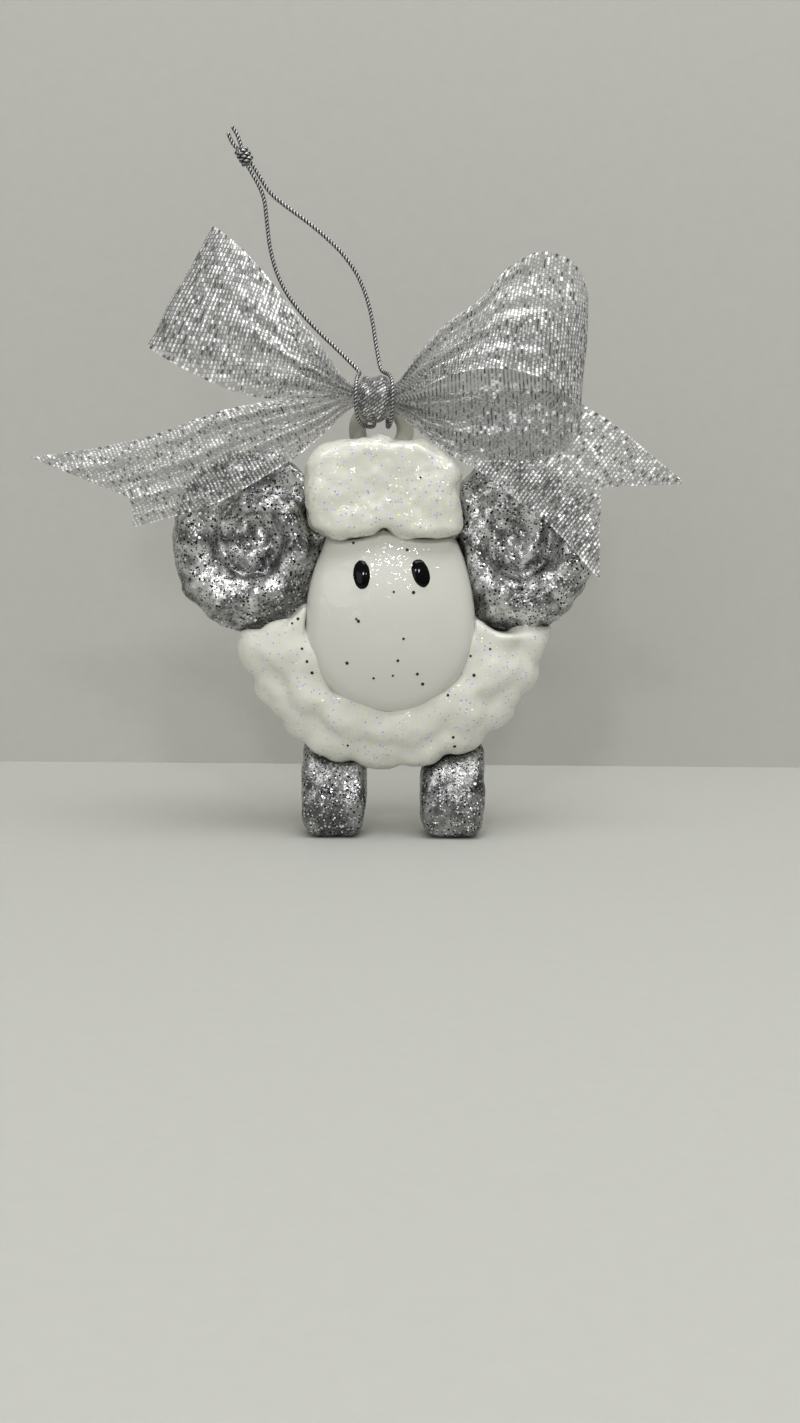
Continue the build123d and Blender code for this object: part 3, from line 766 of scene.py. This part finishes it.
flake_radius, flake_thickness, flake_bevel = 0.38, 0.1, 0.02
flake_spread, flake_lift = 0.2, 0.03
bpy.ops.mesh.primitive_cylinder_add(
    vertices=6, radius=flake_radius * MM, depth=flake_thickness * MM
)
plate = bpy.context.object
select_only(plate)
bpy.ops.object.mode_set(mode="EDIT")
bpy.ops.mesh.select_all(action="SELECT")
bpy.ops.mesh.bevel(offset=flake_bevel * MM, segments=1)
bpy.ops.object.mode_set(mode="OBJECT")
laid_flakes = []
for number, (spot, outward) in enumerate(flake_places):
    if spot is None:
        continue
    laid = plate.copy()
    laid.data = plate.data.copy()
    bpy.context.scene.collection.objects.link(laid)
    turned = outward.to_track_quat("Z", "X").to_matrix().to_4x4()
    settled = turned @ Matrix.Scale(1 + flake_spread * sin(2.7 * number), 4)
    settled.translation = spot + outward * flake_lift * MM
    laid.data.transform(settled)
    laid_flakes.append(laid)
bpy.data.objects.remove(plate)
select_only(*laid_flakes)
bpy.ops.object.join()
stray_flakes = bpy.context.object
stray_flakes.name = "stray_foil_flakes"
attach(stray_flakes, "figure")
print("stray flakes", len(laid_flakes))

flake_tones, flake_shine = ("#0E0E0F", "#3C3D3E"), {"Metallic": 0.6, "Roughness": 0.3}
dress(stray_flakes, cloudy_paint("cut_foil_flake", 2.5, 1.0, flake_tones, flake_shine))

# %% [markdown]
# ## Ribbon
#
# The bow is one strip of sheer metallic mesh, 32 mm wide. It is gathered to almost nothing in
# the knot and opens out along its way, so its two edges, the selvedges, are two rails. Each row
# of the sheet runs from the upper rail to the lower one. Between them the cloth bulges, and
# close to the knot it is crushed into folds, because the rails are nearer than the cloth is wide.

# %% Ribbon helpers
ribbon_width = 32.0
ribbon_columns = 64
fold_counts = (4.0, 6.5)
fold_drift = (0.05, -0.07)
hem_steepness = 6
soft_swell, soft_across, soft_along = 0.9, 2.6, 0.07


def spline_value(values, t):
    """Smooth value between stations, by the Catmull-Rom rule."""
    count = len(values)
    i = min(int(t), count - 2)
    f = t - i
    p0 = values[max(i - 1, 0)]
    p1, p2 = values[i], values[i + 1]
    p3 = values[min(i + 2, count - 1)]
    return 0.5 * (
        2 * p1
        + (p2 - p0) * f
        + (2 * p0 - 5 * p1 + 4 * p2 - p3) * f * f
        + (3 * p1 - p0 - 3 * p2 + p3) * f * f * f
    )


def ribbon_sheet(name, rails, rows, seed):
    """Sheet between two rails, with stations of upper place, lower place, bulge and fold depth."""
    columns = list(zip(*rails))
    places = []
    for row in range(rows + 1):
        t = (len(rails) - 1) * row / rows
        places.append([spline_value(column, t) for column in columns])
    uppers = [Vector(p[0:3]) for p in places]
    lowers = [Vector(p[3:6]) for p in places]
    middles = [(u + w) / 2 for u, w in zip(uppers, lowers)]
    shape = bmesh.new()
    weave = shape.loops.layers.uv.new("weave")
    along, grid, run = 0.0, [], []
    facing = Vector((0, -1, 0))
    for row in range(rows + 1):
        travel = middles[min(row + 1, rows)] - middles[max(row - 1, 0)]
        across = uppers[row] - lowers[row]
        gap = across.length
        normal = across.cross(travel).normalized()
        if normal.dot(facing) < 0:
            normal = -normal
        facing = normal
        if row:
            along += (middles[row] - middles[row - 1]).length
        run.append(along)
        bulge, fold = places[row][6], max(places[row][7], 0.0)
        line = []
        for k in range(ribbon_columns + 1):
            u = k / ribbon_columns
            hem = min(1.0, hem_steepness * u, hem_steepness * (1 - u))
            wave = sin(2 * pi * fold_counts[0] * u + seed + fold_drift[0] * along)
            wave += 0.5 * sin(2 * pi * fold_counts[1] * u + 2.3 * seed + fold_drift[1] * along)
            soft = noise.noise(Vector((u * soft_across, along * soft_along, seed)))
            soft *= min(1.0, gap / ribbon_width)
            rise = bulge * 4 * u * (1 - u) + (fold * wave + soft_swell * soft) * hem
            line.append(shape.verts.new((lowers[row].lerp(uppers[row], u) + normal * rise) * MM))
        grid.append(line)
    for row in range(rows):
        for k in range(ribbon_columns):
            corners = ((k, row), (k + 1, row), (k + 1, row + 1), (k, row + 1))
            face = shape.faces.new([grid[kv][ku] for ku, kv in corners])
            face.smooth = True
            for loop, (ku, kv) in zip(face.loops, corners):
                loop[weave].uv = (ku / ribbon_columns * ribbon_width * MM, run[kv] * MM)
    shape.normal_update()
    if sum(face.normal.y for face in shape.faces[: rows * ribbon_columns // 3]) > 0:
        bmesh.ops.reverse_faces(shape, faces=shape.faces[:])
    print(f"{name}: {along:.1f} mm long")
    return mesh_piece(name, shape), along


# %% The rails of the bow's four strips, in millimetres
left_loop_rails = [
    (-8.3, -8.4, 109.3, -8.3, -8.4, 106.9, 0.4, 0.5),
    (-12.3, -9.6, 112.6, -13.7, -9.8, 107.3, 1.2, 0.8),
    (-16.8, -10.2, 119.0, -19.6, -10.6, 106.9, 2.8, 0.8),
    (-21.2, -10.2, 124.2, -25.9, -11.0, 106.6, 3.8, 0.5),
    (-27.1, -10.0, 131.7, -33.7, -11.0, 107.3, 3.2, 0.3),
    (-32.9, -9.6, 138.5, -42.0, -10.6, 110.0, 1.6, 0.2),
    (-37.9, -8.6, 143.2, -50.3, -9.4, 114.0, 0.6, 0.1),
    (-41.6, -7.2, 146.1, -56.4, -7.6, 117.5, 0.2, 0.0),
    (-42.9, -5.8, 146.5, -58.4, -5.8, 119.1, 0.0, 0.0),
    (-42.2, -4.2, 145.7, -57.7, -4.2, 119.5, 0.2, 0.0),
    (-38.3, -2.6, 142.5, -52.2, -2.6, 117.3, 0.6, 0.1),
    (-33.0, -1.8, 137.4, -42.7, -1.8, 113.5, 1.0, 0.2),
    (-27.3, -1.8, 130.9, -34.1, -1.8, 110.5, 1.2, 0.3),
    (-21.0, -2.2, 123.0, -25.4, -2.4, 109.1, 1.2, 0.5),
    (-16.7, -3.2, 117.8, -19.1, -3.4, 108.6, 1.0, 0.8),
    (-12.3, -4.2, 111.9, -13.3, -4.4, 108.3, 0.6, 0.8),
    (-8.4, -5.6, 109.2, -8.4, -5.6, 107.1, 0.2, 0.5),
]
right_loop_rails = [
    (-1.2, -9.2, 109.5, -1.2, -9.2, 106.9, 0.3, 0.7),
    (1.8, -10.2, 111.8, 2.3, -10.2, 108.1, 0.6, 1.2),
    (6.2, -11.4, 118.1, 6.3, -12.0, 109.1, 1.2, 1.2),
    (12.4, -12.6, 124.2, 10.2, -13.4, 110.9, 0.6, 0.9),
    (20.0, -13.6, 129.6, 15.3, -14.6, 112.7, 0.3, 0.6),
    (25.6, -14.2, 135.8, 20.6, -15.2, 113.6, 0.0, 0.4),
    (30.6, -14.6, 139.2, 25.9, -15.6, 113.6, -0.4, 0.3),
    (35.9, -14.4, 140.1, 33.4, -15.6, 112.0, -0.5, 0.2),
    (41.6, -13.2, 137.9, 38.8, -14.8, 109.4, -0.3, 0.1),
    (45.0, -11.2, 133.0, 42.6, -13.4, 105.9, 0.0, 0.0),
    (45.3, -9.4, 130.1, 44.0, -11.8, 101.4, 0.1, 0.0),
    (42.3, -8.8, 128.8, 42.8, -10.2, 97.2, -0.8, 0.0),
    (36.2, -8.8, 127.8, 37.0, -10.0, 94.1, -1.6, 0.1),
    (27.3, -8.8, 125.9, 30.1, -10.0, 92.9, -2.0, 0.2),
    (20.3, -8.8, 123.1, 23.0, -10.0, 93.1, -2.0, 0.3),
    (14.5, -9.0, 118.9, 15.2, -10.0, 95.1, -1.6, 0.7),
    (8.6, -9.0, 114.4, 8.8, -9.6, 98.4, -1.0, 1.0),
    (4.2, -8.4, 110.5, 4.3, -8.8, 102.6, -0.4, 1.0),
    (-1.2, -7.2, 108.2, -1.2, -7.2, 105.9, 0.0, 0.4),
]
left_tail_rails = [
    (-8.4, -6.5, 108.0, -8.4, -6.5, 105.7, 0.2, 0.5),
    (-12.4, -8.0, 108.6, -11.7, -8.2, 103.4, 0.4, 1.0),
    (-19.2, -9.4, 107.5, -16.6, -9.8, 98.6, 0.6, 1.15),
    (-30.7, -10.4, 105.9, -22.6, -11.0, 93.4, 0.8, 1.05),
    (-37.8, -10.6, 104.5, -29.0, -11.2, 89.4, 0.8, 1.05),
    (-43.9, -10.7, 102.8, -34.5, -11.4, 86.1, 0.8, 1.05),
    (-50.3, -10.7, 100.4, -40.9, -11.4, 82.7, 0.8, 1.05),
    (-56.7, -10.6, 98.1, -47.6, -11.3, 80.3, 0.8, 1.0),
    (-64.6, -10.4, 96.2, -55.0, -11.1, 78.1, 0.7, 0.9),
    (-71.8, -10.2, 94.7, -62.3, -10.8, 76.2, 0.6, 0.8),
    (-79.0, -9.8, 93.7, -69.5, -10.3, 74.2, 0.5, 0.65),
    (-88.2, -9.4, 92.3, -79.0, -9.8, 72.0, 0.4, 0.5),
]
right_tail_rails = [
    (-1.2, -6.5, 106.4, -1.2, -6.5, 104.1, 0.2, 0.4),
    (2.3, -6.9, 106.9, 1.6, -7.0, 102.9, 0.2, 0.8),
    (7.6, -7.5, 107.8, 5.0, -7.8, 100.5, 0.2, 1.0),
    (15.8, -8.3, 109.2, 8.8, -8.6, 97.3, 0.2, 0.95),
    (25.3, -8.9, 109.7, 14.1, -9.2, 93.8, 0.2, 0.7),
    (34.7, -9.2, 109.3, 20.8, -9.4, 90.0, 0.2, 0.45),
    (40.6, -9.3, 108.0, 25.4, -9.5, 86.8, 0.2, 0.3),
    (46.6, -9.3, 105.0, 30.4, -9.5, 83.0, 0.2, 0.25),
    (53.8, -9.3, 100.6, 36.5, -9.5, 78.6, 0.2, 0.25),
    (59.9, -9.3, 95.7, 42.1, -9.5, 73.2, 0.2, 0.25),
    (67.2, -9.2, 89.9, 49.3, -9.4, 65.3, 0.2, 0.25),
    (75.1, -9.0, 83.4, 57.0, -9.2, 57.9, 0.2, 0.2),
]
strips = {
    "bow_left_loop": ribbon_sheet("bow_left_loop_mesh", left_loop_rails, 190, 0.4),
    "bow_right_loop": ribbon_sheet("bow_right_loop_mesh", right_loop_rails, 200, 1.7),
    "bow_left_tail": ribbon_sheet("bow_left_tail_mesh", left_tail_rails, 140, 2.6),
    "bow_right_tail": ribbon_sheet("bow_right_tail_mesh", right_tail_rails, 140, 0.9),
}

# %% Cut the tails' ends to a dovetail
tail_cuts = {
    "bow_left_tail": ((-85.6, 92.4), (-62.2, 83.3), (-61.6, 76.5), -1),
    "bow_right_tail": ((69.7, 87.6), (49.6, 86.7), (49.9, 64.3), 1),
}


def dovetail(piece, upper_tip, notch, lower_tip, side):
    """Drop every face beyond the straight cuts from the notch to the two tips, seen from the front."""
    corner = Vector((notch[0], 0, notch[1])) * MM
    outward = []
    for tip in (upper_tip, lower_tip):
        normal = Vector((tip[1] - notch[1], 0, notch[0] - tip[0])).normalized()
        outward.append(-normal if normal.x * side < 0 else normal)
    shape = bmesh.new()
    shape.from_mesh(piece.data)
    for normal in outward:
        geometry = shape.verts[:] + shape.edges[:] + shape.faces[:]
        bmesh.ops.bisect_plane(shape, geom=geometry, plane_co=corner, plane_no=normal, dist=1e-7)
    gone = []
    for face in shape.faces:
        from_notch = face.calc_center_median() - corner
        if from_notch.dot(outward[0 if from_notch.z > 0 else 1]) > 0:
            gone.append(face)
    bmesh.ops.delete(shape, geom=gone, context="FACES")
    shape.to_mesh(piece.data)
    shape.free()


for strip_name, (upper_tip, notch, lower_tip, side) in tail_cuts.items():
    dovetail(strips[strip_name][0], upper_tip, notch, lower_tip, side)

# %% [markdown]
# The knot is the same ribbon, wound once round the bow's middle and pulled tight, so the cloth
# lies in slanting creases. It is a barrel of rows round the bow, each row set in and out by the
# creases, with both ends drawn in under the strips.

# %% Bow knot
knot_centre = Vector((-4.45, -6.5, 107.1))
knot_rows, knot_rings = 96, 36
knot_half_width = 4.3
knot_end_radius, knot_rise = 1.2, 4.1
knot_crease, knot_softness = 0.32, 0.5
knot_roundness, knot_cloud = 3.2, (2.2, 1.6)
knot_girth, knot_slant = 33.0, 9.0
shape = bmesh.new()
weave = shape.loops.layers.uv.new("weave")
grid = []
for row in range(knot_rows):
    angle = 2 * pi * row / knot_rows
    line = []
    for ring in range(knot_rings + 1):
        across = 2 * ring / knot_rings - 1
        swell = (1 - abs(across) ** knot_roundness) ** 0.5
        crease = sin(3 * angle + 5.5 * across) + 0.6 * sin(5 * angle - 9 * across + 1.0)
        radius = knot_end_radius + knot_rise * swell + knot_crease * crease * swell
        around = Vector((across * knot_cloud[0], cos(angle) * knot_cloud[1], sin(angle) * knot_cloud[1]))
        radius += knot_softness * noise.noise(around) * swell
        place = Vector((knot_half_width * across, radius * cos(angle), radius * sin(angle)))
        line.append(shape.verts.new((knot_centre + place) * MM))
    grid.append(line)
for row in range(knot_rows):
    for ring in range(knot_rings):
        corners = ((ring, row), (ring, row + 1), (ring + 1, row + 1), (ring + 1, row))
        face = shape.faces.new([grid[at % knot_rows][step] for step, at in corners])
        face.smooth = True
        for loop, (step, at) in zip(face.loops, corners):
            slant = step / knot_rings * knot_slant
            loop[weave].uv = (slant * MM, (at / knot_rows * knot_girth + slant * 0.8) * MM)
for ring in (0, knot_rings):
    end_ring = [grid[row][ring] for row in range(knot_rows)]
    shape.faces.new(end_ring if ring else list(reversed(end_ring)))
bmesh.ops.recalc_face_normals(shape, faces=shape.faces[:])
bow_knot = mesh_piece("bow_knot_wound", shape)
stand_in(bow_knot, "hanger", "ribbon", "bow_knot")
print("bow knot", len(bow_knot.data.polygons), "faces")

# %% [markdown]
# The mesh is woven: fine warp threads run along the ribbon, and flat foil threads go across it,
# about a millimetre apart, in and out of the warp. That gives rows of short bright dashes with
# gaps between them, through which the background shows. The weave lives on the strip's own UV
# map, in metres, so it follows every fold. Each dash leans its own way and sparkles by itself.
# On the ribbon's back face, which is the inside of each loop, the foil is darkened towards a
# dark grey: this is painted shade, for the inside of a loop lies in shade.


# %% Metallic mesh
weft_pitch = 0.9
weft_share = 0.4
dash_length = 1.1
dash_share = 0.8
dash_shift = 0.37
selvedge_width, selvedge_gap = 0.5, 0.35
foil_cover = 0.97


def woven_foil(name, foil_tones, gap_tone, gap_cover, thread_cover, inside_shade_share):
    """Foil threads across the ribbon, broken into dashes by its warp, with sheer gaps between."""
    material, tree, output = new_material(name)
    uv = add_node(tree, "ShaderNodeUVMap", uv_map="weave")
    axes = add_node(tree, "ShaderNodeSeparateXYZ", {"Vector": uv.outputs["UV"]})
    values = {"across": axes.outputs["X"], "along": axes.outputs["Y"]}
    values["loop_inside"] = add_node(tree, "ShaderNodeNewGeometry").outputs["Backfacing"]
    for result, operation, *terms in (
        ("row_number", "DIVIDE", "along", weft_pitch * MM),
        ("row", "FLOOR", "row_number"),
        ("in_row", "FRACT", "row_number"),
        ("shift", "MULTIPLY", "row", dash_shift),
        ("dashes_across", "DIVIDE", "across", dash_length * MM),
        ("dash_number", "ADD", "dashes_across", "shift"),
        ("dash_index", "FLOOR", "dash_number"),
        ("in_dash", "FRACT", "dash_number"),
        ("from_weft", "SUBTRACT", "in_row", 0.5),
        ("off_weft", "ABSOLUTE", "from_weft"),
        ("from_dash", "SUBTRACT", "in_dash", 0.5),
        ("off_dash", "ABSOLUTE", "from_dash"),
        ("thread", "LESS_THAN", "off_weft", weft_share / 2),
        ("lit", "LESS_THAN", "off_dash", dash_share / 2),
        ("dash", "MULTIPLY", "thread", "lit"),
        ("from_middle", "SUBTRACT", "across", ribbon_width / 2 * MM),
        ("off_middle", "ABSOLUTE", "from_middle"),
        ("at_edge", "GREATER_THAN", "off_middle", (ribbon_width / 2 - selvedge_width) * MM),
        ("edge_stitch", "GREATER_THAN", "in_row", selvedge_gap),
        ("selvedge", "MULTIPLY", "at_edge", "edge_stitch"),
        ("woven", "MAXIMUM", "dash", "selvedge"),
        ("thread_hides", "MULTIPLY", "thread", thread_cover),
        ("cover", "MAXIMUM", "thread_hides", gap_cover),
        ("foil_hides", "MULTIPLY", "woven", foil_cover),
        ("opaque", "MAXIMUM", "foil_hides", "cover"),
        ("painted_inside_shade", "MULTIPLY", "loop_inside", inside_shade_share),
    ):
        inputs = {i: values.get(term, term) for i, term in enumerate(terms)}
        values[result] = add_node(tree, "ShaderNodeMath", inputs, operation=operation).outputs[0]
    cell = add_node(tree, "ShaderNodeCombineXYZ", {"X": values["dash_index"], "Y": values["row"]})
    dash_cell = {"Vector": cell.outputs["Vector"]}
    luck = add_node(tree, "ShaderNodeTexWhiteNoise", dash_cell, noise_dimensions="3D")
    struck = add_node(tree, "ShaderNodeValToRGB", {"Fac": luck.outputs["Value"]}, steps=foil_tones)
    # Painted shade: seen from its back face, inside the loops, the foil is mixed towards dark grey.
    inside_shaded = {"Factor": values["painted_inside_shade"], "A": struck.outputs["Color"], "B": colour("#4E4F4F")}
    foil = add_node(tree, "ShaderNodeMix", inside_shaded, data_type="RGBA").outputs["Result"]
    ground = {"Factor": values["thread"], "A": colour(gap_tone), "B": colour("#3A3B3B")}
    between = add_node(tree, "ShaderNodeMix", ground, data_type="RGBA")
    cloth = {"Factor": values["woven"], "A": between.outputs["Result"], "B": foil}
    cloth_tone = add_node(tree, "ShaderNodeMix", cloth, data_type="RGBA")
    shader = add_node(
        tree,
        "ShaderNodeBsdfPrincipled",
        {
            "Base Color": cloth_tone.outputs["Result"],
            "Metallic": 0.42,
            "Roughness": 0.3,
            "Alpha": values["opaque"],
            "Normal": tilted_normal(tree, luck, 0.5),
        },
    )
    tree.links.new(shader.outputs["BSDF"], output.inputs["Surface"])
    return material


loop_foil = ["#C8C9CA", "#DCDDDE", "#F4F4F4", "#FFFFFF", "#5E5F60", "#FFFFFF", "#E8E9EA", "#B6B7B8"]
knot_foil = ["#9A9B9C", "#C8C9CA", "#E8E9EA", "#FFFFFF", "#B4B5B6"]
metal_mesh = woven_foil("woven_foil_mesh", loop_foil, "#9E9F9E", 0.46, 0.7, 0.6)
wound_mesh = woven_foil("wound_foil_mesh", knot_foil, "#6E6F6F", 1.0, 1.0, 0.0)
dress(bow_knot, wound_mesh)


for strip_name, (piece, strip_length) in strips.items():
    dress(piece, metal_mesh)
    stand_in(piece, "hanger", "ribbon", strip_name)

# %% [markdown]
# ## Stage and light
#
# The ornament stands on a pale table before a pale wall, in soft room light. The wall is clear
# from behind, so that the flat back can be looked at too.

# %% Floor and wall
wall_distance = 0.1
floor_paint = cloudy_paint("matte_white_table", 3, 4.0, ("#B3B4AF", "#B8B9B4"), {"Roughness": 0.6})

wall_paint, tree, output = new_material("matte_grey_wall")
place = add_node(tree, "ShaderNodeTexCoord").outputs["Object"]
wall_tone = cloudy_tone(tree, place, 4, 4.0, ("#B6B5B0", "#BCBBB6"))
solid_wall = add_node(tree, "ShaderNodeBsdfPrincipled", {"Base Color": wall_tone, "Roughness": 0.8})
clear = add_node(tree, "ShaderNodeBsdfTransparent")
from_behind = add_node(tree, "ShaderNodeNewGeometry").outputs["Backfacing"]
either = {0: from_behind, 1: solid_wall.outputs["BSDF"], 2: clear.outputs["BSDF"]}
one_sided = add_node(tree, "ShaderNodeMixShader", either)
tree.links.new(one_sided.outputs["Shader"], output.inputs["Surface"])

stage_size = 6.0
bpy.ops.mesh.primitive_plane_add(size=stage_size, location=(0, 0, 0))
table = bpy.context.object
table.name = "table_top"
dress(table, floor_paint)
bpy.ops.mesh.primitive_plane_add(
    size=stage_size, location=(0, wall_distance, 2.99), rotation=(radians(90), 0, 0)
)
wall = bpy.context.object
wall.name = "wall"
dress(wall, wall_paint)

# %% Room light
world = bpy.data.worlds.new("room")
bpy.context.scene.world = world
world.use_nodes = True
sky = world.node_tree
direction = add_node(sky, "ShaderNodeTexCoord").outputs["Generated"]
height = add_node(sky, "ShaderNodeSeparateXYZ", {"Vector": direction}).outputs["Z"]
levels = {"Value": height, "From Min": -0.1, "From Max": 0.9, "To Min": 0.1, "To Max": 0.56}
room_level = add_node(sky, "ShaderNodeMapRange", levels)
sky.nodes["Background"].inputs["Color"].default_value = colour("#F4F1EC")
sky.links.new(room_level.outputs["Result"], sky.nodes["Background"].inputs["Strength"])


def soft_lamp(name, place, size, watts):
    """Soft lamp with two sides' lengths in metres, that looks at the middle of the object."""
    bpy.ops.object.light_add(type="AREA", location=place)
    lamp = bpy.context.object
    lamp.name = name
    lamp.data.shape = "RECTANGLE"
    lamp.data.size, lamp.data.size_y = size
    lamp.data.energy = watts
    lamp.rotation_euler = (lamp_target - Vector(place)).to_track_quat("-Z", "Y").to_euler()


lamp_target = Vector((0, 0, 0.08))
soft_lamp("ceiling_lamp", (0.15, -0.3, 1.1), (0.9, 0.6), 9.0)
soft_lamp("window", (-0.7, -1.2, 0.5), (0.7, 0.7), 2.1)
soft_lamp("left_spot", (-0.16, -1.1, 0.7), (0.1, 0.08), 1.8)
soft_lamp("right_spot", (0.19, -1.1, 0.7), (0.1, 0.08), 1.8)
